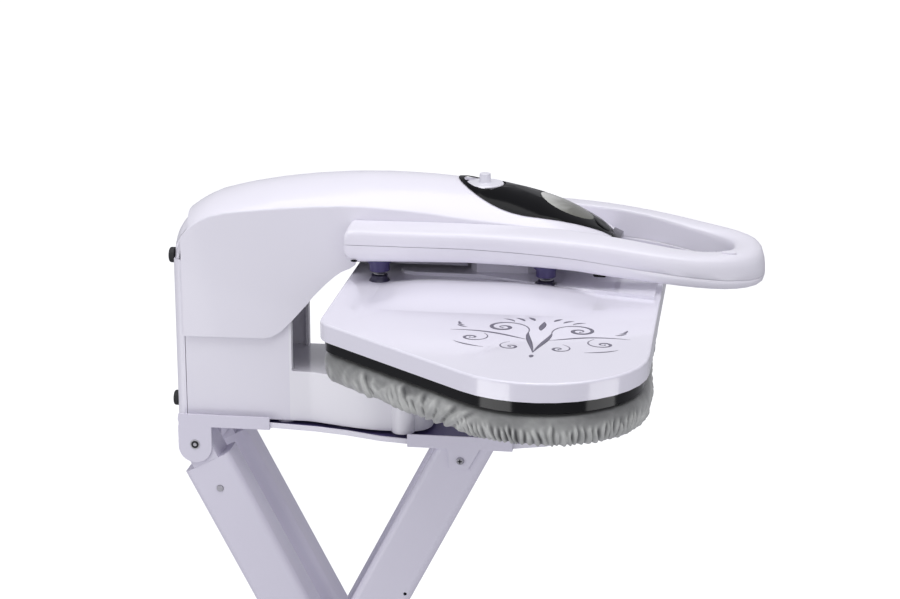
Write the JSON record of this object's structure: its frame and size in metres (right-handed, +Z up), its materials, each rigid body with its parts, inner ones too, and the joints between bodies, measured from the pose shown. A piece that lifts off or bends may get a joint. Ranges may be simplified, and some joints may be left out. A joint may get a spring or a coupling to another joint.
{
  "type": "steam ironing press",
  "caption": "Steam ironing press: sprung heated plate under a hinged hood with a loop handle, over a cloth-covered board, on a folding scissor stand.",
  "frame": {"origin": "on the floor, at the centre of the whole press's bounding box", "axes": "+X from the hinge towards the handle, +Y along the plates, +Z up"},
  "size_m": [0.6412, 0.5648, 0.964],
  "materials": {
    "body": "satin",
    "plum": "matt",
    "stand_paint": "satin powder coat",
    "stand_plastic": "matt",
    "rubber": "matt",
    "bush": "matt",
    "board": "satin",
    "foam": "soft",
    "cloth": "metallised weave",
    "fastener": "satin",
    "spring": "satin",
    "circuit": "matt",
    "console": "gloss",
    "window": "clear",
    "tank": "translucent",
    "insulation": "matt",
    "sole": "satin",
    "heater": "satin",
    "plug": "translucent"
  },
  "bodies": {
    "base": {"base_tray": "body", "base_housing": "body", "rear_cover": "body", "rear_bumpers": "rubber", "cord_gland": "rubber", "tray_spacers": "body", "hinge_bushes": "bush", "board_posts": "body", "board_plate": "board", "board_pad": "foam", "board_cover": "cloth", "rear_brackets": "stand_paint", "front_brackets": "stand_paint", "bracket_screws": "fastener", "rear_leg_pins": "fastener", "lock_screws": "fastener", "power_board": "circuit"},
    "head": {"hinge_shaft": "fastener", "lift_springs": "spring", "head_arm": "board", "hood_cover": "body", "handle_upper": "body", "handle_lower": "body", "head_under_cover": "body", "console_panel": "console", "console_window": "window", "display_module": "circuit", "water_tank": "tank", "steam_pump": "console", "suspension_guides": "plum", "suspension_springs": "spring", "hood_screws": "fastener", "lock_button": "body"},
    "plate": {"plate_cover": "body", "insulation_rim": "insulation", "sole_plate": "sole", "heater_element": "heater", "thermostat": "heater", "plate_neck": "body", "suspension_bolts": "plum"},
    "filler": {"filler_plug": "plug"},
    "steam_key": {"steam_key": "console"},
    "rear_legs": {"rear_leg_left": "stand_paint", "rear_leg_right": "stand_paint", "rear_leg_plugs": "stand_plastic", "rear_foot_bar": "stand_paint", "rear_brace": "stand_paint", "rear_foot_caps": "rubber", "leg_rivets": "fastener", "scissor_bolts": "fastener"},
    "front_legs": {"front_leg_left": "stand_paint", "front_leg_right": "stand_paint", "front_foot_bar": "stand_paint", "front_brace": "stand_paint", "front_foot_caps": "rubber", "scissor_bushes": "insulation"}
  },
  "joints": [
    {"name": "head_lift", "type": "hinge", "parent": "base", "child": "head", "pos_m": [-0.1499, 0.0425, 0.888], "axis": [0, -1, 0], "range_deg": [0, 34]},
    {"name": "plate_float", "type": "slide", "parent": "head", "child": "plate", "axis": [0, 0, 1], "range_m": [0, 0.0035], "stiffness_N_per_m": 12000, "springref_m": -0.004, "deforming": ["suspension_springs"]},
    {"name": "filler_pull", "type": "slide", "parent": "head", "child": "filler", "axis": [0, 0, 1], "range_m": [0, 0.025]},
    {"name": "steam_key_press", "type": "slide", "parent": "head", "child": "steam_key", "axis": [0, 0, -1], "range_m": [0, 0.0015], "stiffness_N_per_m": 400, "springref_m": -0.002},
    {"name": "stand_fold", "type": "hinge", "parent": "base", "child": "rear_legs", "pos_m": [-0.17239, 0.0425, 0.722], "axis": [0, -1, 0], "range_deg": [0, 45]},
    {"name": "scissor", "type": "hinge", "parent": "rear_legs", "child": "front_legs", "pos_m": [-0.05469, 0.0425, 0.49396], "axis": [0, 1, 0], "range_deg": [0, 108]}
  ],
  "couplings": [
    {"joint": "scissor", "follows": "stand_fold", "ratio": 2.4}
  ]
}
